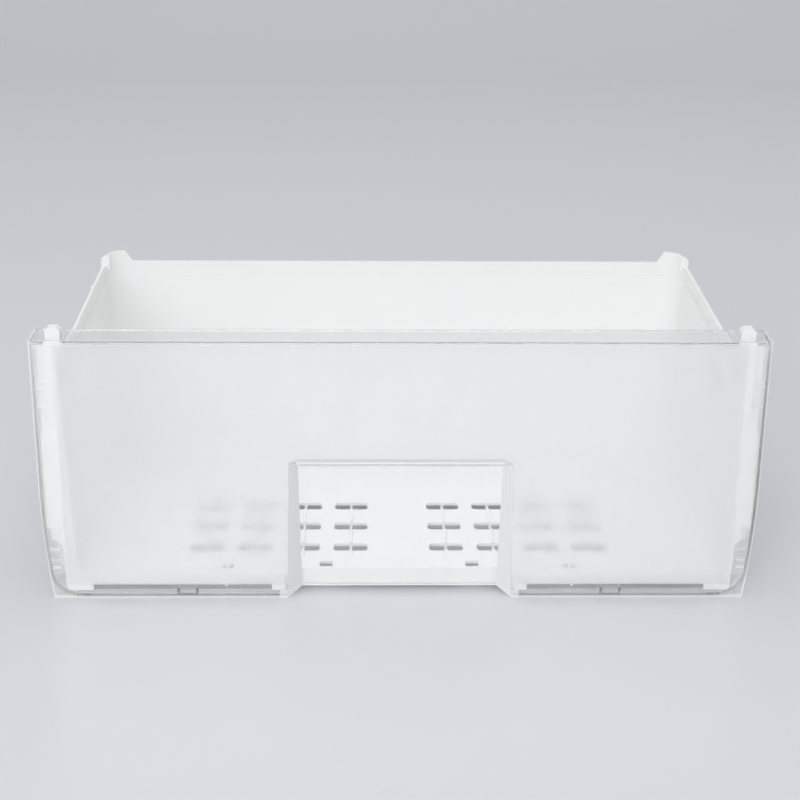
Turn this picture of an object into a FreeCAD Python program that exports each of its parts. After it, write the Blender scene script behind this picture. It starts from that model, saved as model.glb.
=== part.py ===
import FreeCAD, Part
import math
import os
import Sketcher

# Freezer drawer: an open moulded basket closed at the front by a clear clipped-on cover.
# Millimetres. X runs across the drawer, +Y to the rear, +Z up, the table is Z = 0.
# Both mouldings are symmetric, so each is drawn as its right half and mirrored.
# Sketches are drawn with Y = 0 on the cover's front face; the placement then centres the drawer.

doc = FreeCAD.newDocument("freezer_drawer")

SIZES = {
    # overall
    "drawer_depth": 222.6,
    "overcut": 1.0,
    "sink": 1.0,
    "skim": 0.05,
    "wall_zone": 22.0,
    # clear front cover
    "cover_half": 218.4,
    "cover_height": 168.0,
    "cover_wall": 2.4,
    "cover_depth": 23.0,
    "flare_height": 75.0,
    "flare_radius": 570.0,
    "corner_radius": 20.0,
    "bottom_flange": 8.0,
    "flange_half": 192.0,
    "cover_edge_round": 0.9,
    # finger recess in the cover
    "grip_half": 69.1,
    "grip_half_high": 67.3,
    "grip_height": 88.9,
    "grip_depth_low": 8.8,
    "grip_depth_high": 5.2,
    "grip_edge_lift": 4.0,
    "grip_wall": 1.9,
    # hooks and tongues that clip the cover to the basket
    "hook_rib": 1.4,
    "hook_rib_depth": 4.0,
    "hook_high_reach": 210.4,
    "hook_high_low": 126.0,
    "hook_high_middle": 137.6,
    "hook_high_top": 143.0,
    "hook_low_reach": 208.0,
    "hook_low_low": 19.5,
    "hook_low_middle": 24.5,
    "hook_low_top": 33.0,
    "lug_half": 214.6,
    "lug_front": 7.0,
    "lug_rear": 10.5,
    "tongue_middle": 131.0,
    "tongue_width": 13.0,
    "tongue_end": 20.0,
    "tongue_thick": 2.0,
    "tongue_rib": 1.5,
    "tongue_rib_top": 6.5,
    "tongue_rib_end": 14.0,
    # basket shell
    "basket_front": 2.7,
    "rim_half": 205.2,
    "rim_height": 149.0,
    "basket_wall": 1.9,
    "draft_slope": 0.035,
    "floor_low": 10.5,
    "shell_corner": 19.0,
    "shell_foot": 8.0,
    "band_height": 13.0,
    "band_step": 0.7,
    "band_inside": 9.5,
    "stop_y": 166.3,
    "stop_width": 2.0,
    "stop_proud": 1.0,
    # front frame of the basket
    "frame_thick": 2.0,
    "frame_top": 165.2,
    "frame_half": 209.6,
    "tab_half": 214.9,
    "tab_low": 47.0,
    "tab_high": 110.0,
    "tab_slope_low": 1.0,
    "tab_slope_high": 8.0,
    "foot_top": 36.0,
    "foot_half": 206.3,
    "foot_low_half": 205.4,
    "foot_corner": 3.0,
    "flange_low": 38.0,
    "flange_low_half": 213.2,
    "flange_edge": 214.2,
    "flange_overlap": 2.0,
    "flange_setback": 1.6,
    "gusset_length": 21.0,
    "gusset_flat": 5.0,
    "gusset_root": 3.0,
    # sill under the front edge of the floor
    "sill_top": 14.9,
    "sill_low": 8.7,
    "leg_low": 4.3,
    "leg_inner": 189.0,
    "jog_leg": 79.0,
    "jog_gap": 0.9,
    # locating knobs
    "knob_middle": 204.1,
    "knob_width": 8.8,
    "knob_top": 175.5,
    "knob_chamfer": 1.9,
    "knob_depth": 7.0,
    "knob_notch": 11.0,
    "knob_setback": 0.3,
    "knob_root": 6.0,
    # rear ears
    "ear_width": 20.7,
    "ear_top": 156.7,
    "ear_slope": 5.0,
    "ear_round": 5.9,
    "ear_out": 0.7,
    "ear_root": 2.0,
    "ear_depth": 12.0,
    "ear_block": 6.0,
    "ear_block_thick": 3.0,
    "ear_block_drop": 3.2,
    "ear_block_rise": 6.4,
    "ear_block_chamfer": 2.0,
    # openings in the walls and the floor
    "side_hole_length": 44.0,
    "side_hole_height": 17.0,
    "side_hole_y": 76.0,
    "side_hole_z": 116.0,
    "pitch": 30.6,
    "slot_length": 21.7,
    "slot_width": 10.2,
    "slot_corner": 2.5,
    "slot_sink": 1.0,
    "first_row": 45.8,
    "drain_radius": 4.0,
    "drain_y": 20.0,
    "window_width": 8.2,
    "window_front": 15.0,
    "window_rear": 26.5,
    # ribs under the floor
    "rib_thick": 1.5,
    "rib_drop": 4.0,
    "rib_clear": 12.0,
    "drain_rib_end": 32.0,
    "runner_x": 192.0,
    "runner_thick": 2.2,
    "runner_front": 25.0,
}

sheet = doc.addObject("Spreadsheet::Sheet", "Size")
for row, (alias, number) in enumerate(SIZES.items(), start=1):
    sheet.set(f"A{row}", alias)
    sheet.set(f"B{row}", str(number))
    sheet.setAlias(f"B{row}", alias)
doc.recompute()
TOUCH = 0.01


def sized(text):
    """Writes every size named in the text as a reference to its cell."""
    words = []
    word = ""
    for letter in text + " ":
        if letter.isalnum() or letter == "_":
            word += letter
            continue
        words.append("Size." + word if word in SIZES else word)
        words.append(letter)
        word = ""
    return "".join(words).strip()


def value(text):
    """The number that an expression of sizes comes to."""
    return float(sheet.evalExpression(sized(text)))


def bind(target, prop, text):
    target.setExpression(prop, sized(text))


def plane(body, role):
    return next(item for item in body.Origin.OriginFeatures if item.Role == role)


def new_body(name):
    body = doc.addObject("PartDesign::Body", name)
    body.Label = name
    bind(body, ".Placement.Base.y", "-drawer_depth / 2")
    return body


def new_sketch(body, name, role, offset="0"):
    """A sketch on one of the body's base planes, moved along the plane's normal."""
    sketch = body.newObject("Sketcher::SketchObject", name)
    sketch.AttachmentSupport = [(plane(body, role), "")]
    sketch.MapMode = "FlatFace"
    bind(sketch, ".AttachmentOffset.Base.z", offset)
    return sketch


def pin_point(sketch, geometry, end, across, up, label):
    """Ties a point of the sketch to two size expressions."""
    for text, axis, kind in ((across, -2, "DistanceX"), (up, -1, "DistanceY")):
        number = value(text)
        if number == 0:
            sketch.addConstraint(Sketcher.Constraint("PointOnObject", geometry, end, axis))
            continue
        index = sketch.addConstraint(Sketcher.Constraint(kind, -1, 1, geometry, end, number))
        name = f"{label}_{kind[-1].lower()}"
        sketch.renameConstraint(index, name)
        bind(sketch, f"Constraints.{name}", text)


def draw_outline(sketch, corners):
    """Draws a closed outline. A corner is (across, up) or (across, up, radius): with a radius
    the stretch to the next corner is an arc, counter-clockwise unless the text starts with -."""
    spots = [FreeCAD.Vector(value(corner[0]), value(corner[1]), 0) for corner in corners]
    ends = []
    for place, corner in enumerate(corners):
        start, finish = spots[place], spots[(place + 1) % len(corners)]
        if len(corner) == 2:
            index = sketch.addGeometry(Part.LineSegment(start, finish), False)
            ends.append((index, 1, 2))
            continue
        clockwise = corner[2].startswith("-")
        radius = value(corner[2].lstrip("-"))
        chord = finish - start
        side = FreeCAD.Vector(-chord.y, chord.x, 0).normalize()
        rise = math.sqrt(max(radius ** 2 - (chord.Length / 2) ** 2, 0))
        middle = (start + finish) / 2 + side * (-rise if clockwise else rise)
        first, last = (finish, start) if clockwise else (start, finish)
        angles = [math.atan2(spot.y - middle.y, spot.x - middle.x) for spot in (first, last)]
        circle = Part.Circle(middle, FreeCAD.Vector(0, 0, 1), radius)
        index = sketch.addGeometry(Part.ArcOfCircle(circle, *angles), False)
        ends.append((index, 2, 1) if clockwise else (index, 1, 2))
    for place, (index, start_end, _) in enumerate(ends):
        before, _, finish_end = ends[place - 1]
        sketch.addConstraint(Sketcher.Constraint("Coincident", before, finish_end, index, start_end))
        pin_point(sketch, index, start_end, corners[place][0], corners[place][1], f"corner{place}")
    for place, corner in enumerate(corners):
        if len(corner) == 3:
            index = ends[place][0]
            text = corner[2].lstrip("-")
            mark = sketch.addConstraint(Sketcher.Constraint("Radius", index, value(text)))
            sketch.renameConstraint(mark, f"radius{place}")
            bind(sketch, f"Constraints.radius{place}", text)


def grow(body, name, sketch, length, reverse=False):
    pad = body.newObject("PartDesign::Pad", name)
    pad.Profile = sketch
    pad.Reversed = reverse
    bind(pad, "Length", length)
    return pad


def carve(body, name, sketch, length, reverse=False):
    pocket = body.newObject("PartDesign::Pocket", name)
    pocket.Profile = sketch
    pocket.Reversed = reverse
    bind(pocket, "Length", length)
    return pocket


def blend(body, kind, name, sketches):
    """Joins two sketches with flat drafted faces."""
    loft = body.newObject(kind, name)
    loft.Profile = sketches[0]
    loft.Sections = sketches[1:]
    loft.Ruled = True
    return loft


def box_corners(low_across, low_up, high_across, high_up):
    return [(low_across, low_up), (high_across, low_up), (high_across, high_up), (low_across, high_up)]


def edge_names(shape, wanted):
    names = []
    for number, edge in enumerate(shape.Edges, start=1):
        middle = edge.CenterOfMass
        if wanted(edge, middle):
            names.append(f"Edge{number}")
    return names


def round_edges(body, name, radius, wanted):
    """Rounds the edges of the body's last feature that the test picks."""
    doc.recompute()
    base = body.Tip
    fillet = body.newObject("PartDesign::Fillet", name)
    fillet.Base = (base, edge_names(base.Shape, wanted))
    bind(fillet, "Radius", radius)
    return fillet


def pattern(body, name, feature, role, length, count):
    """Repeats a feature in a row along one of the body's base axes."""
    doc.recompute()
    repeat = body.newObject("PartDesign::LinearPattern", name)
    repeat.Originals = [feature]
    repeat.Direction = (plane(body, role), [""])
    repeat.Occurrences = count
    bind(repeat, "Length", length)
    body.Tip = repeat
    return repeat


def mirror_body(body, name):
    """Completes the moulding with its left half."""
    doc.recompute()
    mirrored = body.newObject("PartDesign::Mirrored", name)
    mirrored.TransformMode = "Whole shape"
    mirrored.MirrorPlane = (plane(body, "YZ_Plane"), [""])
    body.Tip = mirrored


def make_front_cover():
    body = new_body("front_cover")
    wall_half = "cover_half - flare_radius + sqrt(flare_radius^2 - (flare_height - corner_radius)^2)"
    plate_half = "cover_half - flare_radius + sqrt(flare_radius^2 - flare_height^2)"

    # Hollow tray: the front and the return wall, with large round corners at the foot.
    tray = new_sketch(body, "tray_outline", "XZ_Plane")
    draw_outline(tray, [
        ("0", "0"),
        (f"{wall_half} - corner_radius", "0", "corner_radius"),
        (wall_half, "corner_radius", "flare_radius"),
        ("cover_half", "flare_height"),
        ("cover_half", "cover_height"),
        ("0", "cover_height"),
    ])
    grow(body, "tray_block", tray, "cover_depth", reverse=True)
    hollow = new_sketch(body, "tray_hollow_outline", "XZ_Plane", "-cover_depth")
    draw_outline(hollow, [
        ("0", "cover_wall"),
        (f"{wall_half} - corner_radius", "cover_wall", "corner_radius - cover_wall"),
        (f"{wall_half} - cover_wall", "corner_radius", "flare_radius - cover_wall"),
        ("cover_half - cover_wall", "flare_height"),
        ("cover_half - cover_wall", "cover_height - cover_wall"),
        ("0", "cover_height - cover_wall"),
    ])
    carve(body, "tray_hollow", hollow, "cover_depth - cover_wall", reverse=True)

    # The flat front runs on past the round corners down to the table.
    plate = new_sketch(body, "plate_outline", "XZ_Plane")
    draw_outline(plate, [
        ("0", "0"),
        (plate_half, "0", "flare_radius"),
        ("cover_half", "flare_height"),
        ("cover_half", "cover_height"),
        ("0", "cover_height"),
    ])
    grow(body, "face_plate", plate, "cover_wall", reverse=True)

    # The bottom return is a narrow strip between the corners.
    strip = new_sketch(body, "bottom_cutback_outline", "XY_Plane")
    draw_outline(strip, box_corners("0", "bottom_flange", "flange_half", "cover_depth + overcut"))
    carve(body, "bottom_cutback", strip, "cover_wall + overcut", reverse=True)

    # Finger recess: slanted sides, a leaning back wall and a flat lip on top.
    deepen = "(grip_depth_low - grip_depth_high) / grip_height"
    widen = "(grip_half - grip_half_high) / grip_height"
    sections = []
    for label, level in (("low", "0"), ("high", "(grip_height + grip_wall)")):
        depth_here = f"(grip_depth_low - {deepen} * {level})"
        half_here = f"(grip_half - {widen} * {level})"
        section = new_sketch(body, f"grip_housing_{label}", "XY_Plane", level)
        draw_outline(section, [
            ("0", "cover_wall / 2"),
            (f"{half_here} + grip_wall * sqrt(2) - cover_wall / 2", "cover_wall / 2"),
            (f"{half_here} + grip_wall * (sqrt(2) - 1) - {depth_here}", f"{depth_here} + grip_wall"),
            ("0", f"{depth_here} + grip_wall"),
        ])
        sections.append(section)
    blend(body, "PartDesign::AdditiveLoft", "grip_housing", sections)
    sections = []
    for label, level in (("low", "0"), ("high", "grip_height")):
        depth_here = f"(grip_depth_low - {deepen} * {level})"
        half_here = f"(grip_half - {widen} * {level})"
        section = new_sketch(body, f"grip_hollow_{label}", "XY_Plane", level)
        draw_outline(section, [
            ("0", "-overcut"),
            (f"{half_here} + overcut", "-overcut"),
            (f"{half_here} - {depth_here}", depth_here),
            ("0", depth_here),
        ])
        sections.append(section)
    blend(body, "PartDesign::SubtractiveLoft", "grip_hollow", sections)
    lift = new_sketch(body, "grip_edge_outline", "XZ_Plane")
    draw_outline(lift, [
        ("0", "-overcut"),
        ("grip_half", "-overcut"),
        ("grip_half", "0"),
        ("grip_half - grip_depth_low", "grip_edge_lift"),
        ("0", "grip_edge_lift"),
    ])
    carve(body, "grip_edge", lift, "cover_depth")

    # Open notch in the top return for the basket's knob.
    notch = new_sketch(body, "knob_notch_outline", "XY_Plane", "cover_height - cover_wall - overcut")
    draw_outline(notch, box_corners(
        "knob_middle - knob_notch / 2", "basket_front",
        "knob_middle + knob_notch / 2", "cover_depth + overcut"))
    carve(body, "knob_notch_cut", notch, "cover_wall + 2 * overcut", reverse=True)

    # Two hooks on each side wall: ribs across the corner and a lug further back.
    for label, side in (("high", "cover_half"), ("low", wall_half)):
        reach = f"hook_{label}_reach"
        low, top = f"hook_{label}_low", f"hook_{label}_top"
        for step, level in (("low", low), ("middle", f"hook_{label}_middle"), ("top", f"{top} - hook_rib")):
            rib = new_sketch(body, f"hook_{label}_{step}_outline", "YZ_Plane", reach)
            draw_outline(rib, box_corners("cover_wall / 2", level, "hook_rib_depth", f"{level} + hook_rib"))
            grow(body, f"hook_{label}_{step}_rib", rib, f"{side} - cover_wall / 2 - {reach}")
        lug = new_sketch(body, f"hook_{label}_lug_outline", "YZ_Plane", "lug_half")
        draw_outline(lug, box_corners("lug_front", low, "lug_rear", top))
        grow(body, f"hook_{label}_lug", lug, f"{side} - cover_wall / 2 - lug_half")

    # Tongue that reaches back under the basket's sill, stiffened by two side ribs.
    tongue = new_sketch(body, "tongue_outline", "XY_Plane")
    draw_outline(tongue, box_corners(
        "tongue_middle - tongue_width / 2", "cover_wall / 2",
        "tongue_middle + tongue_width / 2", "tongue_end"))
    grow(body, "tongue", tongue, "tongue_thick")
    for label, sign in (("inner", "-"), ("outer", "+")):
        outer_edge = f"tongue_middle {sign} tongue_width / 2"
        inner_edge = f"{outer_edge} {'+' if sign == '-' else '-'} tongue_rib"
        low, high = (outer_edge, inner_edge) if sign == "-" else (inner_edge, outer_edge)
        rib = new_sketch(body, f"tongue_{label}_rib_outline", "XY_Plane")
        draw_outline(rib, box_corners(low, "cover_wall / 2", high, "tongue_rib_end"))
        grow(body, f"tongue_{label}_rib", rib, "tongue_rib_top")

    mirror_body(body, "cover_mirror")

    def on_front_outline(edge, middle):
        on_front = edge.BoundBox.YMax < TOUCH
        at_top = middle.z > value("cover_height") - TOUCH
        at_side = abs(middle.x) > value("cover_half - corner_radius / 2")
        return on_front and (at_top or at_side)

    round_edges(body, "cover_edge_rounds", "cover_edge_round", on_front_outline)
    return body


def shell_outline(body, name, inset):
    """The shell's outline at the rim, drawn in from the outer face of the rim band."""
    sketch = new_sketch(body, name, "XY_Plane", "rim_height")
    draw_outline(sketch, box_corners(
        "0", "basket_front", f"rim_half - ({inset})", f"drawer_depth - ({inset})"))
    return sketch


def lean_walls(body, name, inset, reverse=False):
    """Drafts the side wall and the rear wall that stand at the inset, about the rim."""
    doc.recompute()
    base = body.Tip
    side = value(f"rim_half - ({inset})")
    rear = value(f"drawer_depth - ({inset})")
    rim = value("rim_height")
    walls, tops = [], []
    for number, face in enumerate(base.Shape.Faces, start=1):
        middle = face.CenterOfMass
        box = face.BoundBox
        tall = box.ZLength > rim / 2
        if tall and box.XLength < TOUCH and abs(middle.x - side) < TOUCH:
            walls.append(f"Face{number}")
        if tall and box.YLength < TOUCH and abs(middle.y - rear) < TOUCH:
            walls.append(f"Face{number}")
        if box.ZLength < TOUCH and abs(middle.z - rim) < TOUCH:
            tops.append(f"Face{number}")
    draft = body.newObject("PartDesign::Draft", name)
    draft.Base = (base, walls)
    draft.NeutralPlane = (base, tops[:1])
    draft.Reversed = reverse
    bind(draft, "Angle", "atan(draft_slope)")
    return draft


def make_basket():
    body = new_body("basket")
    grow(body, "shell_block", shell_outline(body, "shell_outline", "band_step"),
         "rim_height - floor_low", reverse=True)
    wall = "band_step + basket_wall"
    carve(body, "inside_hollow", shell_outline(body, "inside_outline", wall),
          "rim_height - floor_low - basket_wall")
    lean_walls(body, "inside_draft", wall)
    lean_walls(body, "shell_draft", "band_step", reverse=True)

    def at_walls(middle):
        at_side = middle.x > value("rim_half - wall_zone")
        return at_side or middle.y > value("drawer_depth - wall_zone")

    def upright(edge, middle, inset):
        """Whether the edge is the rear corner of the wall that stands at the inset."""
        drawn_in = value(f"{inset} + draft_slope * (rim_height - {middle.z})")
        off_side = abs(value("rim_half") - drawn_in - middle.x)
        off_rear = abs(value("drawer_depth") - drawn_in - middle.y)
        return edge.BoundBox.ZLength > value("shell_foot / 2") and max(off_side, off_rear) < 10 * TOUCH

    def inside_corner(edge, middle):
        return upright(edge, middle, wall)

    round_edges(body, "inside_corner_round", "shell_corner - basket_wall", inside_corner)

    def inside_foot(edge, middle):
        return abs(middle.z - value("floor_low + basket_wall")) < TOUCH and at_walls(middle)

    round_edges(body, "inside_foot_round", "shell_foot - basket_wall", inside_foot)

    def outside_corner(edge, middle):
        return upright(edge, middle, "band_step")

    round_edges(body, "shell_corner_round", "shell_corner", outside_corner)

    def along_foot(edge, middle):
        return abs(middle.z - value("floor_low")) < TOUCH and at_walls(middle)

    round_edges(body, "shell_foot_round", "shell_foot", along_foot)

    # A thicker band runs round the rim, outside only.
    band = new_sketch(body, "band_outline", "XY_Plane", "rim_height")
    middle_wall = "band_step + basket_wall / 2"
    draw_outline(band, [
        (f"rim_half - ({middle_wall})", "basket_front"),
        ("rim_half", "basket_front"),
        ("rim_half", "drawer_depth - shell_corner", "shell_corner"),
        ("rim_half - shell_corner", "drawer_depth"),
        ("0", "drawer_depth"),
        ("0", f"drawer_depth - ({middle_wall})"),
        ("rim_half - shell_corner", f"drawer_depth - ({middle_wall})", f"-shell_corner - ({middle_wall})"),
        (f"rim_half - ({middle_wall})", "drawer_depth - shell_corner"),
    ])
    grow(body, "rim_band", band, "band_height", reverse=True)
    inside_band = new_sketch(body, "inside_band_outline", "XY_Plane", "rim_height")
    draw_outline(inside_band, [
        ("0", "basket_front"),
        ("rim_half - basket_wall", "basket_front"),
        ("rim_half - basket_wall", "drawer_depth - shell_corner", "shell_corner - basket_wall"),
        ("rim_half - shell_corner", "drawer_depth - basket_wall"),
        ("0", "drawer_depth - basket_wall"),
    ])
    carve(body, "inside_band", inside_band, "band_inside")

    # Small stop on the outside of the side rim.
    stop = new_sketch(body, "stop_outline", "YZ_Plane", "rim_half - sink")
    draw_outline(stop, box_corners("stop_y - stop_width", "rim_height - band_height", "stop_y", "rim_height"))
    grow(body, "side_stop", stop, "sink + stop_proud")

    # Front frame: side strips with wide tabs, round lower corners, sill and legs.
    inner_top = "rim_half - band_step - basket_wall"
    bend = "(shell_foot - basket_wall)"
    bend_top = f"(sill_top + {bend})"
    inner_low = f"{inner_top} - draft_slope * (rim_height - {bend_top})"
    jog_front = "grip_half + (cover_wall + jog_gap) * sqrt(2)"
    frame = new_sketch(body, "frame_outline", "XZ_Plane", "-basket_front")
    draw_outline(frame, [
        (f"{jog_front} - basket_front", "leg_low"),
        ("jog_leg", "leg_low"),
        ("jog_leg", "sill_low"),
        ("leg_inner", "sill_low"),
        ("leg_inner", "leg_low"),
        ("foot_low_half - foot_corner", "leg_low", "foot_corner"),
        ("foot_low_half", "leg_low + foot_corner"),
        ("foot_half", "foot_top"),
        ("frame_half", "flange_low"),
        ("frame_half", "tab_low - tab_slope_low"),
        ("tab_half", "tab_low"),
        ("tab_half", "tab_high"),
        ("frame_half", "tab_high + tab_slope_high"),
        ("frame_half", "frame_top"),
        (inner_top, "frame_top"),
        (inner_top, "rim_height"),
        (inner_low, bend_top, f"-{bend}"),
        (f"{inner_low} - {bend}", "sill_top"),
        (f"{jog_front} - basket_front", "sill_top"),
    ])
    grow(body, "front_frame", frame, "frame_thick", reverse=True)

    # Thin flange behind the strips, set back so that the cover's hook ribs clear it.
    flange = new_sketch(body, "flange_outline", "XZ_Plane", "-basket_front - flange_setback")
    draw_outline(flange, [
        ("frame_half - flange_overlap", "flange_low"),
        ("flange_low_half", "flange_low"),
        ("flange_edge", "tab_low + corner_radius"),
        ("flange_edge", "frame_top"),
        ("frame_half - flange_overlap", "frame_top"),
    ])
    grow(body, "side_flange", flange, "frame_thick", reverse=True)

    # The side wall's top edge sweeps up to the frame.
    gusset = new_sketch(body, "gusset_outline", "YZ_Plane", inner_top)
    draw_outline(gusset, [
        ("basket_front", "rim_height - gusset_root"),
        ("gusset_length + gusset_root", "rim_height - gusset_root"),
        ("gusset_length + gusset_root", "rim_height", "-gusset_length - gusset_flat"),
        ("basket_front + gusset_flat", "frame_top"),
        ("basket_front", "frame_top"),
    ])
    grow(body, "front_gusset", gusset, "basket_wall")

    # The front edge of the floor steps back round the cover's finger recess.
    jog_back = "(grip_depth_low + cover_wall + jog_gap)"
    jog = new_sketch(body, "jog_outline", "XY_Plane", "leg_low")
    draw_outline(jog, [
        ("0", jog_back),
        (f"{jog_front} - {jog_back}", jog_back),
        (f"{jog_front} - basket_front", "basket_front"),
        (f"{jog_front} - basket_front + frame_thick * sqrt(2)", "basket_front"),
        (f"{jog_front} - {jog_back} + frame_thick * (sqrt(2) - 1)", f"{jog_back} + frame_thick"),
        ("0", f"{jog_back} + frame_thick"),
    ])
    grow(body, "sill_jog", jog, "sill_top - leg_low")
    clear = new_sketch(body, "jog_clear_outline", "XY_Plane")
    draw_outline(clear, [
        ("0", "-overcut"),
        (f"{jog_front} + overcut", "-overcut"),
        (f"{jog_front} - {jog_back}", jog_back),
        ("0", jog_back),
    ])
    carve(body, "sill_jog_clearance", clear, "sill_top + overcut", reverse=True)

    # Chamfered knob that stands up through the cover's notch.
    knob = new_sketch(body, "knob_outline", "XZ_Plane", "-basket_front - knob_setback")
    draw_outline(knob, [
        ("knob_middle - knob_width / 2", "frame_top - knob_root"),
        ("knob_middle + knob_width / 2", "frame_top - knob_root"),
        ("knob_middle + knob_width / 2", "knob_top - knob_chamfer"),
        ("knob_middle + knob_width / 2 - knob_chamfer", "knob_top"),
        ("knob_middle - knob_width / 2 + knob_chamfer", "knob_top"),
        ("knob_middle - knob_width / 2", "knob_top - knob_chamfer"),
    ])
    grow(body, "knob", knob, "knob_depth", reverse=True)

    # Ear on the rear corner: the rim rises round the bend, and a block stands at its outer end.
    ear = new_sketch(body, "ear_outline", "XY_Plane", "rim_height - ear_root")
    ear_in = "rim_half + ear_out - ear_width"
    ear_front = "drawer_depth - ear_depth"
    bend_middle = "rim_half - shell_corner"
    inner_round = "(shell_corner - basket_wall)"
    draw_outline(ear, [
        (f"{bend_middle} + sqrt(shell_corner^2 - (shell_corner - ear_depth)^2)", ear_front, "shell_corner"),
        (bend_middle, "drawer_depth"),
        (ear_in, "drawer_depth"),
        (ear_in, "drawer_depth - basket_wall"),
        (bend_middle, "drawer_depth - basket_wall", f"-{inner_round}"),
        (f"{bend_middle} + sqrt({inner_round}^2 - (shell_corner - ear_depth)^2)", ear_front),
    ])
    grow(body, "ear", ear, "ear_top - rim_height + ear_root")
    slope = new_sketch(body, "ear_slope_outline", "XZ_Plane", f"-({ear_front} - overcut)")
    draw_outline(slope, [
        (f"{ear_in} - overcut", "rim_height"),
        (ear_in, "rim_height"),
        (f"{ear_in} + ear_slope", "ear_top"),
        (f"{ear_in} + ear_slope", "ear_top + overcut"),
        (f"{ear_in} - overcut", "ear_top + overcut"),
    ])
    carve(body, "ear_slope_cut", slope, "ear_depth + 2 * overcut")
    shoulder = new_sketch(body, "ear_shoulder_outline", "XZ_Plane", f"-({ear_front} - overcut)")
    draw_outline(shoulder, [
        ("rim_half", "ear_top - ear_round", "ear_round"),
        ("rim_half - ear_round", "ear_top"),
        ("rim_half - ear_round", "ear_top + overcut"),
        ("rim_half + overcut", "ear_top + overcut"),
        ("rim_half + overcut", "ear_top - ear_round"),
    ])
    carve(body, "ear_shoulder_cut", shoulder, "ear_depth + 2 * overcut")
    block = new_sketch(body, "ear_block_outline", "XZ_Plane", f"-({ear_front})")
    block_in = "rim_half + ear_out - ear_block"
    draw_outline(block, [
        (block_in, "rim_height - ear_block_drop"),
        ("rim_half + ear_out", "rim_height - ear_block_drop"),
        ("rim_half + ear_out", "rim_height + ear_block_rise - ear_block_chamfer"),
        ("rim_half + ear_out - ear_block_chamfer", "rim_height + ear_block_rise"),
        (block_in, "rim_height + ear_block_rise"),
    ])
    grow(body, "ear_block_pad", block, "ear_block_thick", reverse=True)

    # Obround hole through the side wall.
    hole = new_sketch(body, "side_hole_outline", "YZ_Plane", "rim_half - wall_zone")
    straight = "(side_hole_length - side_hole_height) / 2"
    half = "side_hole_height / 2"
    draw_outline(hole, [
        (f"side_hole_y - {straight}", f"side_hole_z - {half}"),
        (f"side_hole_y + {straight}", f"side_hole_z - {half}", half),
        (f"side_hole_y + {straight} + {half}", "side_hole_z", half),
        (f"side_hole_y + {straight}", f"side_hole_z + {half}"),
        (f"side_hole_y - {straight}", f"side_hole_z + {half}", half),
        (f"side_hole_y - {straight} - {half}", "side_hole_z", half),
    ])
    carve(body, "side_hole", hole, "wall_zone + overcut", reverse=True)

    # Ribs under the floor, one beneath each column of slots and a short one under the drain.
    rib_z = "floor_low - rib_drop"
    rear_end = "drawer_depth - draft_slope * rim_height - rib_clear"
    rib = new_sketch(body, "floor_rib_outline", "XY_Plane", rib_z)
    draw_outline(rib, box_corners(
        "pitch - rib_thick / 2", f"{jog_back} + frame_thick / 2", "pitch + rib_thick / 2", rear_end))
    floor_rib = grow(body, "floor_rib", rib, "rib_drop + sink")
    pattern(body, "floor_ribs", floor_rib, "X_Axis", "3 * pitch", 4)
    short = new_sketch(body, "drain_rib_outline", "XY_Plane", rib_z)
    draw_outline(short, box_corners(
        "3.5 * pitch - rib_thick / 2", "basket_front + frame_thick / 2",
        "3.5 * pitch + rib_thick / 2", "drain_rib_end"))
    grow(body, "drain_rib", short, "rib_drop + sink")

    # Runner along each side and a cross rib at the rear carry the drawer.
    runner = new_sketch(body, "runner_outline", "XY_Plane")
    draw_outline(runner, box_corners("runner_x - runner_thick", "runner_front", "runner_x", rear_end))
    grow(body, "runner", runner, "floor_low + sink")
    cross = new_sketch(body, "rear_rib_outline", "XY_Plane")
    draw_outline(cross, box_corners("0", f"{rear_end} - runner_thick", "runner_x", rear_end))
    grow(body, "rear_rib", cross, "floor_low + sink")

    # Drain slots: three rows in the front half of the floor.
    slot = new_sketch(body, "slot_outline", "XY_Plane", "floor_low - slot_sink")
    left, right = "pitch - slot_length / 2", "pitch + slot_length / 2"
    front, rear = "first_row - slot_width / 2", "first_row + slot_width / 2"
    draw_outline(slot, [
        (f"{left} + slot_corner", front),
        (f"{right} - slot_corner", front, "slot_corner"),
        (right, f"{front} + slot_corner"),
        (right, f"{rear} - slot_corner", "slot_corner"),
        (f"{right} - slot_corner", rear),
        (f"{left} + slot_corner", rear, "slot_corner"),
        (left, f"{rear} - slot_corner"),
        (left, f"{front} + slot_corner", "slot_corner"),
    ])
    first_slot = carve(body, "slot", slot, "slot_sink + basket_wall + overcut", reverse=True)
    doc.recompute()
    slots = body.newObject("PartDesign::MultiTransform", "slots")
    slots.Originals = [first_slot]
    steps = []
    for label, role, span, count in (("slot_columns", "X_Axis", "3 * pitch", 4),
                                     ("slot_rows", "Y_Axis", "2 * pitch", 3)):
        step = body.newObject("PartDesign::LinearPattern", label)
        step.Direction = (plane(body, role), [""])
        step.Occurrences = count
        bind(step, "Length", span)
        steps.append(step)
    slots.Transformations = steps
    body.Tip = slots

    window = new_sketch(body, "window_outline", "XY_Plane", "floor_low - skim")
    draw_outline(window, box_corners(
        "1.5 * pitch - window_width / 2", "window_front", "1.5 * pitch + window_width / 2", "window_rear"))
    carve(body, "window", window, "basket_wall + overcut", reverse=True)
    drain = new_sketch(body, "drain_outline", "XY_Plane", "floor_low - skim")
    circle = Part.Circle(FreeCAD.Vector(value("3.5 * pitch"), value("drain_y"), 0),
                         FreeCAD.Vector(0, 0, 1), value("drain_radius"))
    drain.addGeometry(circle, False)
    pin_point(drain, 0, 3, "3.5 * pitch", "drain_y", "middle")
    mark = drain.addConstraint(Sketcher.Constraint("Radius", 0, value("drain_radius")))
    drain.renameConstraint(mark, "drain_size")
    bind(drain, "Constraints.drain_size", "drain_radius")
    carve(body, "drain", drain, "basket_wall + overcut", reverse=True)

    mirror_body(body, "basket_mirror")
    return body


parts = [make_basket(), make_front_cover()]
doc.recompute()

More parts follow.
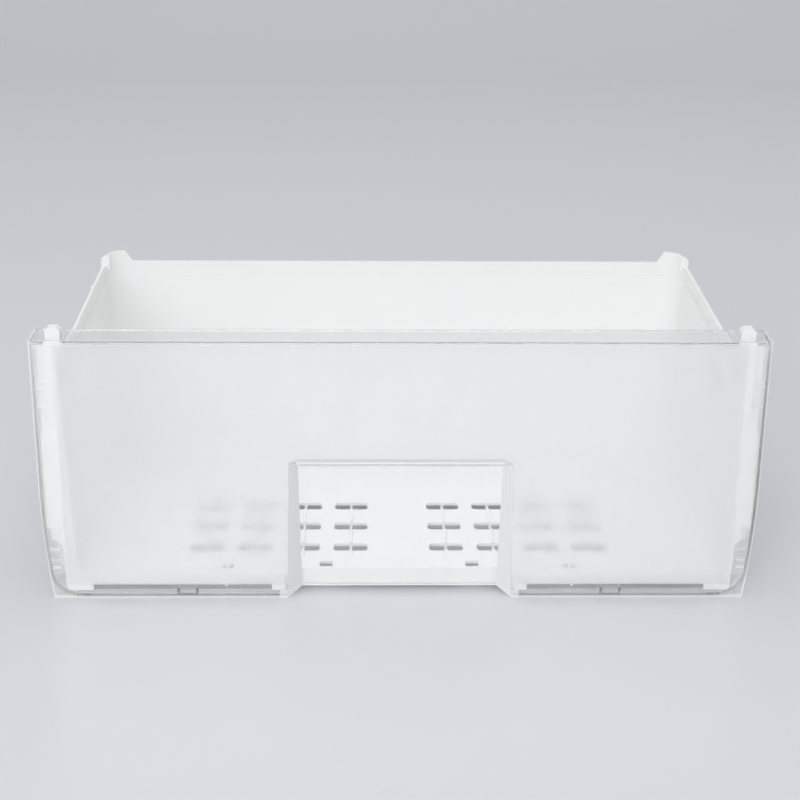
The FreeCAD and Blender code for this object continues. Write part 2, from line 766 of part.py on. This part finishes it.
for item in doc.Objects:
    if "Invalid" in item.State or "Error" in item.State:
        raise RuntimeError(f"{item.Name} failed: {item.State}")
for body in parts:
    if body.Shape.isNull() or not body.Shape.isValid():
        raise RuntimeError(f"{body.Label} has no valid shape")
    if len(body.Shape.Solids) != 1:
        raise RuntimeError(f"{body.Label} holds {len(body.Shape.Solids)} solids")

os.makedirs("parts", exist_ok=True)
for body in parts:
    body.Shape.exportStep(f"parts/{body.Label}.step")
    bounds = body.Shape.optimalBoundingBox(True, False)
    print(body.Label, "volume cm3", round(body.Shape.Volume / 1000, 1), "faces", len(body.Shape.Faces))
    print("  X", round(bounds.XMin, 2), round(bounds.XMax, 2), "Y", round(bounds.YMin, 2),
          round(bounds.YMax, 2), "Z", round(bounds.ZMin, 2), round(bounds.ZMax, 2))
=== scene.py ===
# %% [markdown]
# # A freezer drawer
# The drawer is two mouldings: a white basket, and a clear cover that clips on its front.
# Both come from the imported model, which already has their exact shapes. This lesson gives
# them their plastics, stands them on a pale table, lights them and sets the camera.

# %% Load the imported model
import bmesh
import bpy
import math
from mathutils import Matrix, Vector


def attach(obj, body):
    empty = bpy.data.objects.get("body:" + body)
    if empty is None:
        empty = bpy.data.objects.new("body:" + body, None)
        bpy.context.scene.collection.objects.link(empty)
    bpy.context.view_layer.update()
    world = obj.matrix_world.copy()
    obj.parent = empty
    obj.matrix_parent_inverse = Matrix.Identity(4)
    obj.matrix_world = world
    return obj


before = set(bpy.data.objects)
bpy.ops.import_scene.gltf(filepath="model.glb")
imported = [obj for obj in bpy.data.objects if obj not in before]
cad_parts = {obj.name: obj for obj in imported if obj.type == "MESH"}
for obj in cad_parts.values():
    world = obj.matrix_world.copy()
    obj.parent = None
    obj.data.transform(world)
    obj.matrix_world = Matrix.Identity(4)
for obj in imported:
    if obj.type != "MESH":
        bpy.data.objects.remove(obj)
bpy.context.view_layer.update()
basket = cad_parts["basket"]
front_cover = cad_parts["front_cover"]

# %% [markdown]
# Every finish below is a small network of shader nodes. Adding nodes one by one takes many
# lines, so short helpers do it: one adds a node and sets its plain values, one links two
# sockets, one feeds a measure into a socket, and one starts a new material with its main
# shader. A measure is a pair: a node and one of its outputs.

# %% Helpers for shader nodes
def add_node(tree, kind, label, **values):
    node = tree.nodes.new(kind)
    node.label = label
    for name, value in values.items():
        setattr(node, name, value)
    return node


def link(tree, source, output, target, entry):
    tree.links.new(source.outputs[output], target.inputs[entry])


def feed(tree, measure, target, entry):
    link(tree, *measure, target, entry)


def new_material(name):
    material = bpy.data.materials.new(name)
    material.use_nodes = True
    tree = material.node_tree
    tree.nodes.clear()
    output = add_node(tree, "ShaderNodeOutputMaterial", "surface")
    shader = add_node(tree, "ShaderNodeBsdfPrincipled", "plastic")
    link(tree, shader, "BSDF", output, "Surface")
    return material, tree, shader, output


# %% [markdown]
# A moulded part has no painted picture on it. Its marks lie where the tool made them, so the
# patterns are placed by object coordinates: metres from the middle of the drawer. They stay
# put when the cover slides, because they belong to the piece and not to the room.

# %% Helpers that measure a place on the piece
def place_on_piece(tree):
    """The object coordinates, and x, y and z of them as measures in metres."""
    coordinates = add_node(tree, "ShaderNodeTexCoord", "place on the piece")
    split = add_node(tree, "ShaderNodeSeparateXYZ", "x, y and z in metres")
    link(tree, coordinates, "Object", split, "Vector")
    return coordinates, (split, "X"), (split, "Y"), (split, "Z")


def facing_of_surface(tree):
    geometry = add_node(tree, "ShaderNodeNewGeometry", "facing of the surface")
    split = add_node(tree, "ShaderNodeSeparateXYZ", "x, y and z of the facing")
    link(tree, geometry, "Normal", split, "Vector")
    return split


def maths(tree, operation, label, first, second=None, third=None):
    """One sum. Each entry is a number or a measure."""
    node = add_node(tree, "ShaderNodeMath", label, operation=operation)
    for index, entry in enumerate((first, second, third)):
        if entry is None:
            continue
        if isinstance(entry, tuple):
            feed(tree, entry, node, index)
        else:
            node.inputs[index].default_value = entry
    return (node, 0)


def ramp_between(tree, label, source, start, end, low, high):
    """Maps a measure to a value, smoothly, from low at start to high at end."""
    node = add_node(tree, "ShaderNodeMapRange", label, interpolation_type="SMOOTHSTEP")
    feed(tree, source, node, "Value")
    node.inputs["From Min"].default_value = start
    node.inputs["From Max"].default_value = end
    node.inputs["To Min"].default_value = low
    node.inputs["To Max"].default_value = high
    return (node, "Result")


def noise(tree, label, coordinates, scale, detail=3.0):
    node = add_node(tree, "ShaderNodeTexNoise", label)
    node.inputs["Scale"].default_value = scale
    node.inputs["Detail"].default_value = detail
    link(tree, coordinates, "Object", node, "Vector")
    return (node, "Fac")


# %% [markdown]
# Two more helpers end a network. One mixes two colours, the other turns a height into small
# bumps of the surface. The mixing node has sockets for numbers, places and colours, and the
# ones for colours are reached by their position.

# %% Helpers for colour and relief
MIX_SHARE = 0
MIX_FIRST = 6
MIX_SECOND = 7
MIX_RESULT = 2


def blend(tree, label, share, first, second):
    """A colour that goes from first to second. Each is three numbers or a measure."""
    node = add_node(tree, "ShaderNodeMix", label, data_type="RGBA")
    feed(tree, share, node, MIX_SHARE)
    for entry, colour in ((MIX_FIRST, first), (MIX_SECOND, second)):
        if len(colour) == 2:
            feed(tree, colour, node, entry)
        else:
            node.inputs[entry].default_value = (*colour, 1)
    return (node, MIX_RESULT)


def relief(tree, height, shader):
    bump = add_node(tree, "ShaderNodeBump", "relief")
    bump.inputs["Distance"].default_value = 1.0
    feed(tree, height, bump, "Height")
    link(tree, bump, "Normal", shader, "Normal")


# %% [markdown]
# The basket is white polypropylene, moulded in one shot. Up close such a wall isn't one flat
# white: the colour drifts a little where the plastic cooled at different speeds, the polish
# of the tool is uneven, and light goes a few millimetres into the wall before it comes back.
# Noise gives the first two. The upward face of the step inside the rim gets painted shade, a
# darker white, since it is hardly seen on the real drawer.

# %% White plastic of the basket
WHITE = (0.865, 0.865, 0.865)
COOLER_WHITE = (0.835, 0.84, 0.845)
LEDGE_PAINTED_SHADE = (0.805, 0.805, 0.805)
LEDGE = 0.1395
LEDGE_NEAR = 0.0002
LEDGE_FAR = 0.0005
PATCH_SCALE = 9.0

basket_white, tree, shader, _ = new_material("basket_white_moulded")
coordinates, across, depth, level = place_on_piece(tree)
facing = facing_of_surface(tree)

drift = noise(tree, "slow drift of the colour", coordinates, PATCH_SCALE)
drift_share = ramp_between(tree, "share of the cooler white", drift, 0.3, 0.75, 0.0, 0.5)
tint = blend(tree, "white and a cooler white", drift_share, WHITE, COOLER_WHITE)
# Painted shade: the upward face of the step inside the rim is coloured a darker white.
upward = ramp_between(tree, "faces up", (facing, "Z"), 0.6, 0.9, 0.0, 1.0)
over_ledge = maths(tree, "SUBTRACT", "height over the ledge", level, LEDGE)
from_ledge = maths(tree, "ABSOLUTE", "distance from the ledge", over_ledge)
on_ledge = ramp_between(tree, "on the ledge", from_ledge, LEDGE_NEAR, LEDGE_FAR, 1.0, 0.0)
ledge = maths(tree, "MULTIPLY", "top of the ledge", upward, on_ledge)
ledge_with_painted_shade = blend(tree, "painted shade on the ledge", ledge, tint, LEDGE_PAINTED_SHADE)
feed(tree, ledge_with_painted_shade, shader, "Base Color")
print("white of the basket", WHITE, "ledge at", LEDGE, "m")

# %% [markdown]
# The polish of the tool shows as an uneven roughness, and subsurface scattering lets the
# light in. Its depth is 3 mm, about as far as light goes in a white wall of this kind.

# %% Polish and depth of the white plastic
POLISH_SCALE = 55.0
SMOOTHEST = 0.29
ROUGHEST = 0.34
LIGHT_DEPTH = 0.003

polish = noise(tree, "uneven polish of the tool", coordinates, POLISH_SCALE)
rough = ramp_between(tree, "roughness", polish, 0.3, 0.7, SMOOTHEST, ROUGHEST)
feed(tree, rough, shader, "Roughness")
shader.inputs["IOR"].default_value = 1.49
shader.inputs["Subsurface Weight"].default_value = 0.12
shader.inputs["Subsurface Radius"].default_value = (1.0, 0.95, 0.9)
shader.inputs["Subsurface Scale"].default_value = LIGHT_DEPTH
print("roughness of the basket", SMOOTHEST, "to", ROUGHEST)

# %% [markdown]
# Opposite each rib under the floor the thick plastic shrinks as it cools, and leaves a
# shallow sink line on the top face. The ribs stand every 30.6 mm, so the distance to the
# nearest rib is worked out from x alone. Fine grain from the tool comes on top. All heights
# and widths below are in metres.

# %% Sink lines and grain of the basket
RIB_PITCH = 0.0306
SINK_BOTTOM = 0.0006
SINK_EDGE = 0.0032
SINK_HEIGHT = -0.00022
FLOOR_LEVELS = (0.0135, 0.0155)
MIDDLE_ENDS = (0.012, 0.016)
LAST_RIB_ENDS = (0.134, 0.138)
GRAIN_SCALE = 1600.0
GRAIN_HEIGHT = 0.000012
WAVE_SCALE = 26.0
WAVE_HEIGHT = 0.00005

columns = maths(tree, "ABSOLUTE", "distance from the middle", across)
nearest = maths(tree, "PINGPONG", "distance to a rib", columns, RIB_PITCH / 2)
sink = ramp_between(tree, "sink line", nearest, SINK_BOTTOM, SINK_EDGE, 1.0, 0.0)
on_floor = ramp_between(tree, "only on the floor", level, *FLOOR_LEVELS, 1.0, 0.0)
off_middle = ramp_between(tree, "none in the middle", columns, *MIDDLE_ENDS, 0.0, 1.0)
inside = ramp_between(tree, "none past the ribs", columns, *LAST_RIB_ENDS, 1.0, 0.0)
sink_here = maths(tree, "MULTIPLY", "sink lines of the floor", sink, on_floor)
sink_here = maths(tree, "MULTIPLY", "without the middle", sink_here, off_middle)
sink_here = maths(tree, "MULTIPLY", "within the ribs", sink_here, inside)
grain = noise(tree, "fine grain", coordinates, GRAIN_SCALE, 2.0)
waves = noise(tree, "slow waves of the wall", coordinates, WAVE_SCALE, 1.0)
height = maths(tree, "MULTIPLY", "grain in metres", grain, GRAIN_HEIGHT)
height = maths(tree, "MULTIPLY_ADD", "with the waves", waves, WAVE_HEIGHT, height)
height = maths(tree, "MULTIPLY_ADD", "with the sink lines", sink_here, SINK_HEIGHT, height)
relief(tree, height, shader)

basket.data.materials.clear()
basket.data.materials.append(basket_white)
print("basket nodes in the shader", len(tree.nodes))

# %% [markdown]
# The cover is clear styrene plastic. Its outer face is polished below and satin over the
# main field. The inner face of the field is etched, so what stands right behind it is sharp
# and what stands further back blurs. The window of the finger recess is polished on both
# sides. The next cells name these places as masks: numbers between 0 and 1, worked out from
# where a point lies on the cover. Sizes are in metres.

# %% Places on the cover
COVER_FRONT = -0.1113
COVER_WALL = 0.0024
INNER_FACE = COVER_FRONT + COVER_WALL

cover_clear, tree, shader, output = new_material("cover_clear_moulded")
coordinates, across, depth, level = place_on_piece(tree)
facing = facing_of_surface(tree)
away = maths(tree, "ABSOLUTE", "distance from the middle", across)
print("front wall of the cover from", COVER_FRONT, "to", INNER_FACE)

# %% [markdown]
# Four helpers make and join masks: more than an edge, less than an edge, both of two masks,
# and either of them. The change from 0 to 1 is smooth over a small margin, so that no mask
# ends in a jagged line.

# %% Helpers for masks
MARGIN = 0.0002
CRISP = 0.0001


def past(label, source, edge, margin=MARGIN):
    """A mask that is 1 where the measure is more than the edge."""
    return ramp_between(tree, label, source, edge - margin, edge + margin, 0.0, 1.0)


def short_of(label, source, edge, margin=MARGIN):
    """A mask that is 1 where the measure is less than the edge."""
    return ramp_between(tree, label, source, edge - margin, edge + margin, 1.0, 0.0)


def both(label, first, second):
    return maths(tree, "MULTIPLY", label, first, second)


def either(label, first, second):
    return maths(tree, "MAXIMUM", label, first, second)


# %% [markdown]
# The etched face is the inner side of the front, between the frame lines and down to a clear
# foot. The slanted sides of the recess are etched too, which hides the edge of the basket's
# floor behind them.

# %% Etched faces
INNER_FACE_START = INNER_FACE - 0.0003
INNER_FACE_END = INNER_FACE + 0.0004
FRAME_LINE = 0.20475
CLEAR_FOOT = 0.0083
GRIP_HALF = 0.0691
GRIP_SIDE_END = GRIP_HALF + 0.005
SLANT = 0.5
SLANT_MARGIN = 0.05

behind_outer = past("behind the outer face", depth, INNER_FACE_START, CRISP)
before_walls = short_of("before the walls", depth, INNER_FACE_END, CRISP)
inner_face = both("inner face", behind_outer, before_walls)
inside_frame = short_of("inside the frame", away, FRAME_LINE)
field = both("inside the frame lines", inner_face, inside_frame)
field = both("etched field", field, past("above the clear foot", level, CLEAR_FOOT, 0.0003))
sideways = maths(tree, "ABSOLUTE", "sideways", (facing, "X"))
slant = past("faces sideways", sideways, SLANT, SLANT_MARGIN)
near_grip = short_of("near the recess", away, GRIP_SIDE_END, 0.001)
grip_side = both("slanted sides of the recess", slant, near_grip)
etched = either("all etched faces", field, grip_side)
print("etched field is", 2 * FRAME_LINE, "m wide and starts", CLEAR_FOOT, "m above the table")

# %% [markdown]
# Light that enters a clear plate runs inside it and leaves at the edges, which is why the edges
# of such a cover look brighter than its faces. Here that glow is painted: the side walls, the
# bottom return and the faces beside the field let less light through and show more white
# instead.

# %% Side walls and returns
COVER_HALF = 0.2184
FRONT_WALL_END = INNER_FACE + 0.0003
SIDE_WALL_START = COVER_HALF - 0.0185
TOP_RETURN = 0.1653
BOTTOM_RETURN = 0.0026
GRIP_EDGE = 0.0052
CORNER_END = 0.014
CORNER_TOP = 0.024

behind = past("behind the front wall", depth, FRONT_WALL_END, CRISP)
side_wall = both("side walls", behind, past("at the sides", away, SIDE_WALL_START))
under_top = short_of("below the top return", level, TOP_RETURN)
side_wall = both("side walls below the top", side_wall, under_top)
in_corner = short_of("in the corner", level, CORNER_TOP, 0.002)
round_corner = both("round lower corners", side_wall, in_corner)
bottom_return = both("bottom return", behind, short_of("at the bottom", level, BOTTOM_RETURN))
at_edge = short_of("at the edge", level, GRIP_EDGE)
grip_foot = both("lower edge of the recess", near_grip, at_edge)
low_return = either("bottom return and recess edge", bottom_return, grip_foot)
frame_face = both("beside the field", inner_face, past("outside the frame", away, FRAME_LINE))
over_corner = past("over the corner", level, CORNER_END, 0.004)
frame_face = both("above the round corner", frame_face, over_corner)
print("side walls start", SIDE_WALL_START, "m from the middle")

# %% [markdown]
# The narrow faces round the plate are the brightest, and they get the most painted glow. At the
# sides the plate is flared: below 75 mm it is drawn in along a wide arc, and the mask follows
# that arc.

# %% Bright edges
COVER_REAR = -0.0883
REAR_EDGE_START = COVER_REAR - 0.0004
REAR_EDGE_TOP = 0.160
OUTLINE_START = COVER_HALF - 0.0011
FLARE_HEIGHT = 0.075
FLARE_RADIUS = 0.57
FOOT_EDGE = 0.0014

below_flare = maths(tree, "SUBTRACT", "height left", FLARE_HEIGHT, level)
below_flare = maths(tree, "MAXIMUM", "below the flare", below_flare, 0.0)
squared = maths(tree, "MULTIPLY", "squared", below_flare, below_flare)
drawn_in = maths(tree, "DIVIDE", "drawn in at the foot", squared, 2 * FLARE_RADIUS)
reach = maths(tree, "ADD", "reach to the side", away, drawn_in)
outline = past("outline of the front", reach, OUTLINE_START)
front_wall = short_of("front wall", depth, FRONT_WALL_END, CRISP)
at_table = short_of("at the table", level, FOOT_EDGE)
foot_line = both("lowest line of the front", front_wall, at_table)
outline = either("outline with the foot line", outline, foot_line)
at_rear = past("at the rear", depth, REAR_EDGE_START)
rear_edge = both("rear edges", at_rear, short_of("not the top", level, REAR_EDGE_TOP))
edges = either("edges that glow", rear_edge, outline)
print("drawn in at the table by", FLARE_HEIGHT ** 2 / (2 * FLARE_RADIUS), "m")

# %% [markdown]
# Roughness makes the blur. The etching is finest in a strip along the foot and near the top,
# and coarser in the middle of the field. The satin of the outer face sets in gradually above
# the foot.

# %% Clear and etched roughness
POLISHED = 0.02
REAR_SATIN = 0.2
OUTER_SATIN = 0.12
OUTER_FACE_END = COVER_FRONT + 0.0004
SATIN_LEVEL = 0.036
SATIN_MARGIN = 0.030
FOOT_STRIP = (0.018, 0.034)
TOP_STRIP = (0.100, 0.150)
FINE_ETCHING = 0.14
COARSE_ETCHING = 0.24
ETCHING_SCALE = 120.0

flow = noise(tree, "uneven etching", coordinates, ETCHING_SCALE)
unevenness = ramp_between(tree, "unevenness", flow, 0.3, 0.7, 0.95, 1.03)
etching = (FINE_ETCHING, COARSE_ETCHING)
from_foot = ramp_between(tree, "coarser above the foot", level, *FOOT_STRIP, *etching)
to_top = ramp_between(tree, "finer towards the top", level, *TOP_STRIP, 1.0, 0.7)
etched_rough = both("along the height", from_foot, to_top)
etched_rough = both("roughness of the etching", etched_rough, unevenness)
rear_rough = maths(tree, "MULTIPLY_ADD", "satin rear edges", at_rear, REAR_SATIN, POLISHED)
outer_face = short_of("on the outer face", depth, OUTER_FACE_END)
outer_face = both("outer face of the field", outer_face, inside_frame)
over_strip = past("over the strip", level, SATIN_LEVEL, SATIN_MARGIN)
outer_face = both("above the foot strip", outer_face, over_strip)
satin = maths(tree, "MULTIPLY_ADD", "satin outer face", outer_face, OUTER_SATIN, rear_rough)
rough = maths(tree, "MULTIPLY_ADD", "roughness", etched, etched_rough, satin)
feed(tree, rough, shader, "Roughness")
print("roughness of the cover", POLISHED, "to", POLISHED + COARSE_ETCHING)

# %% [markdown]
# The share of white makes the milky look: where less light passes straight through, more of it
# comes back from the surface. On the etched field that is the plastic's own haze. On the slanted
# sides, side walls, returns, edges, frame faces and round corners, the lowered share is painted
# glow that stands in for light running inside the plate.

# %% Light that passes and light that comes back
CLEAR_PASSES = 0.88
ETCHED_PASSES = 0.46
CLEAR_TINT = (0.935, 0.935, 0.935)
ETCHED_TINT = (0.865, 0.865, 0.865)

passes = ramp_between(tree, "light that passes", etched, 0.0, 1.0, CLEAR_PASSES, ETCHED_PASSES)
# Painted glow: less light passes the slanted sides, walls, returns, edges, frame faces and
# corners, so they show as brighter white.
for label, mask, share in (
    ("through the slanted sides", grip_side, 0.35),
    ("through the side walls", side_wall, 0.5),
    ("through the low returns", low_return, 0.5),
    ("through the edges", edges, 0.4),
    ("through the frame", frame_face, 0.62),
    ("through the round corners", round_corner, 0.5),
):
    lowered = ramp_between(tree, label, mask, 0.0, 1.0, 1.0, share)
    passes = maths(tree, "MULTIPLY", label, passes, lowered)
    print(label, share)
feed(tree, passes, shader, "Transmission Weight")
greyer = blend(tree, "clear and etched tint", etched, CLEAR_TINT, ETCHED_TINT)
feed(tree, greyer, shader, "Base Color")
shader.inputs["IOR"].default_value = 1.5

# %% [markdown]
# A moulded sheet is never quite flat: the plastic cools in long shallow ripples. They are a
# few hundredths of a millimetre deep here, on the front wall only.

# %% Flow ripples
RIPPLE_SCALE = 12.0
RIPPLE_HEIGHT = 0.00003

ripple = noise(tree, "flow ripple", coordinates, RIPPLE_SCALE, 1.0)
calm = maths(tree, "MULTIPLY", "only on the front wall", ripple, front_wall)
height = maths(tree, "MULTIPLY", "ripple in metres", calm, RIPPLE_HEIGHT)
relief(tree, height, shader)
print("ripples up to", RIPPLE_HEIGHT, "m deep")

# %% [markdown]
# Real clear plastic lets most light through and only lightly shades what is behind it. A
# path tracer would need many samples to find the lamps through a solid clear wall, so rays
# that ask for shade pass the wall as through tinted air. What the camera sees of the plastic
# itself is unchanged.

# %% Light that passes the cover
PASSING_TINT = (0.91, 0.912, 0.914)

shade = add_node(tree, "ShaderNodeBsdfTransparent", "passing light")
shade.inputs["Color"].default_value = (*PASSING_TINT, 1)
ray = add_node(tree, "ShaderNodeLightPath", "kind of ray")
choice = add_node(tree, "ShaderNodeMixShader", "shade or plastic")
link(tree, ray, "Is Shadow Ray", choice, 0)
link(tree, shader, "BSDF", choice, 1)
link(tree, shade, "BSDF", choice, 2)
link(tree, choice, "Shader", output, "Surface")

front_cover.data.materials.clear()
front_cover.data.materials.append(cover_clear)
print("cover nodes in the shader", len(tree.nodes))

# %% [markdown]
# Between the rows of slots the floor has low ribs, a bit over a millimetre wide and high,
# one along the middle of each column, and one more at each drain hole. They stiffen the
# floor where the holes weaken it. They are so small that they are made here, as tapered bars
# with bevelled edges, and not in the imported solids.

# %% Low ribs on the floor
FLOOR_TOP = 0.0124
FLOOR_SINK = 0.0004
RIB_HEIGHT = 0.0012
RIB_FOOT = 0.0011
RIB_CREST = 0.0007
RIB_RUNS = ((0.0345, 0.0407), (0.0509, 0.0713), (0.0815, 0.1019))
DRAIN_RUN = (0.0115, 0.0185)
DRAIN_COLUMN = 3.5
RIB_BEVEL = 0.0003


def add_low_rib(mesh, middle, start, end):
    """A bar that narrows to its crest. Start and end are measured from the cover's front."""
    corners = []
    for level, half in ((FLOOR_TOP - FLOOR_SINK, RIB_FOOT), (FLOOR_TOP + RIB_HEIGHT, RIB_CREST)):
        for x, y in ((-half, start), (half, start), (half, end), (-half, end)):
            corners.append(mesh.verts.new((middle + x, COVER_FRONT + y, level)))
    low, high = corners[:4], corners[4:]
    mesh.faces.new(list(reversed(low)))
    mesh.faces.new(high)
    for first in range(4):
        second = (first + 1) % 4
        mesh.faces.new((low[first], low[second], high[second], high[first]))


ribs = bmesh.new()
for side in (-1, 1):
    for column in (1, 2, 3, 4):
        for start, end in RIB_RUNS:
            add_low_rib(ribs, side * column * RIB_PITCH, start, end)
    add_low_rib(ribs, side * DRAIN_COLUMN * RIB_PITCH, *DRAIN_RUN)
rib_mesh = bpy.data.meshes.new("low_floor_ribs")
ribs.to_mesh(rib_mesh)
ribs.free()
low_floor_ribs = bpy.data.objects.new("low_floor_ribs", rib_mesh)
bpy.context.scene.collection.objects.link(low_floor_ribs)
soften = low_floor_ribs.modifiers.new("soft edges", "BEVEL")
soften.width = RIB_BEVEL
soften.segments = 3
rib_mesh.materials.append(basket_white)
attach(low_floor_ribs, "basket")
print("low ribs", len(rib_mesh.polygons), "faces")

# %% [markdown]
# The drawer stands on a plain pale table. One curved sheet serves as table and backdrop: flat
# under the drawer, it bends up far behind, so that there is no line where they meet.

# %% Pale table
TABLE_HALF = 2.4
TABLE_FRONT = -2.6
BEND_START = 1.5
BEND_RADIUS = 0.9
BEND_STEPS = 12
SHEET_TOP = 3.2
PALE_GREY = (0.66, 0.685, 0.72)
DEEPER_GREY = (0.64, 0.665, 0.70)
CLOUD_SCALE = 1.6

profile = [(TABLE_FRONT, 0.0), (BEND_START, 0.0)]
for step in range(1, BEND_STEPS + 1):
    angle = math.radians(90 * step / BEND_STEPS)
    rise = BEND_RADIUS * (1 - math.cos(angle))
    profile.append((BEND_START + BEND_RADIUS * math.sin(angle), rise))
profile.append((BEND_START + BEND_RADIUS, SHEET_TOP))

table_mesh = bpy.data.meshes.new("table_sheet")
sheet = bmesh.new()
rows = []
for y, z in profile:
    rows.append([sheet.verts.new((x, y, z)) for x in (-TABLE_HALF, TABLE_HALF)])
for near, far in zip(rows, rows[1:]):
    sheet.faces.new((near[0], near[1], far[1], far[0])).smooth = True
sheet.to_mesh(table_mesh)
sheet.free()
table = bpy.data.objects.new("table_sheet", table_mesh)
bpy.context.scene.collection.objects.link(table)

table_pale, tree, shader, _ = new_material("table_pale")
coordinates, *_ = place_on_piece(tree)
cloud = noise(tree, "soft clouds", coordinates, CLOUD_SCALE)
tint = blend(tree, "two pale greys", cloud, PALE_GREY, DEEPER_GREY)
feed(tree, tint, shader, "Base Color")
shader.inputs["Roughness"].default_value = 0.25
table_mesh.materials.append(table_pale)
print("table sheet", len(table_mesh.polygons), "faces")

# %% [markdown]
# The light is soft. One large panel hangs in front of the drawer and a weaker one over it, as
# in a bright room. Large lamps give broad highlights on the rims and no hard shadows. The
# world adds an even light from all sides, so that no inside corner goes black.

# %% Soft studio light
CEILING_WATTS = 11
FRONT_WATTS = 27
EVEN_LIGHT = 0.62


def soft_lamp(name, place, aim, size, power):
    lamp_data = bpy.data.lights.new(name, "AREA")
    lamp_data.shape = "RECTANGLE"
    lamp_data.size, lamp_data.size_y = size
    lamp_data.energy = power
    lamp = bpy.data.objects.new(name, lamp_data)
    lamp.location = place
    lamp.rotation_euler = (Vector(aim) - Vector(place)).to_track_quat("-Z", "Y").to_euler()
    bpy.context.scene.collection.objects.link(lamp)


soft_lamp("ceiling_panel", (0.0, 0.25, 1.9), (0, 0, 0), (2.2, 2.2), CEILING_WATTS)
soft_lamp("front_panel", (-0.5, -2.1, 1.3), (0, 0, 0.08), (2.0, 1.4), FRONT_WATTS)

world = bpy.data.worlds.new("even_light")
world.use_nodes = True
background = world.node_tree.nodes["Background"]
background.inputs["Color"].default_value = (1.0, 1.0, 1.0, 1)
background.inputs["Strength"].default_value = EVEN_LIGHT
bpy.context.scene.world = world
print("lamps", len(bpy.data.lights), "world at", EVEN_LIGHT)

# %% [markdown]
# The camera stands where the photographer stood: about a metre in front, half a metre above
# the table, turned down 22 degrees. Its place was worked out from the straight edges of the
# drawer, so the render and the photograph can be laid on each other.

# %% Camera
PITCH = math.radians(21.768)
YAW = math.radians(-1.277)
ROLL = math.radians(0.5356)
SENSOR = 36.0
LENS = 78.06
CAMERA_PLACE = (-0.02211, -1.06523, 0.51294)

camera_data = bpy.data.cameras.new("photo_camera")
camera_data.sensor_width = SENSOR
camera_data.lens = LENS
camera = bpy.data.objects.new("photo_camera", camera_data)
turn = Matrix.Rotation(YAW, 4, "Z") @ Matrix.Rotation(math.pi / 2 - PITCH, 4, "X")
turn = turn @ Matrix.Rotation(ROLL, 4, "Z")
camera.matrix_world = Matrix.Translation(CAMERA_PLACE) @ turn
bpy.context.scene.collection.objects.link(camera)
bpy.context.scene.camera = camera
bpy.context.scene.view_settings.view_transform = "Standard"
print("camera at", CAMERA_PLACE, "lens", LENS, "mm")
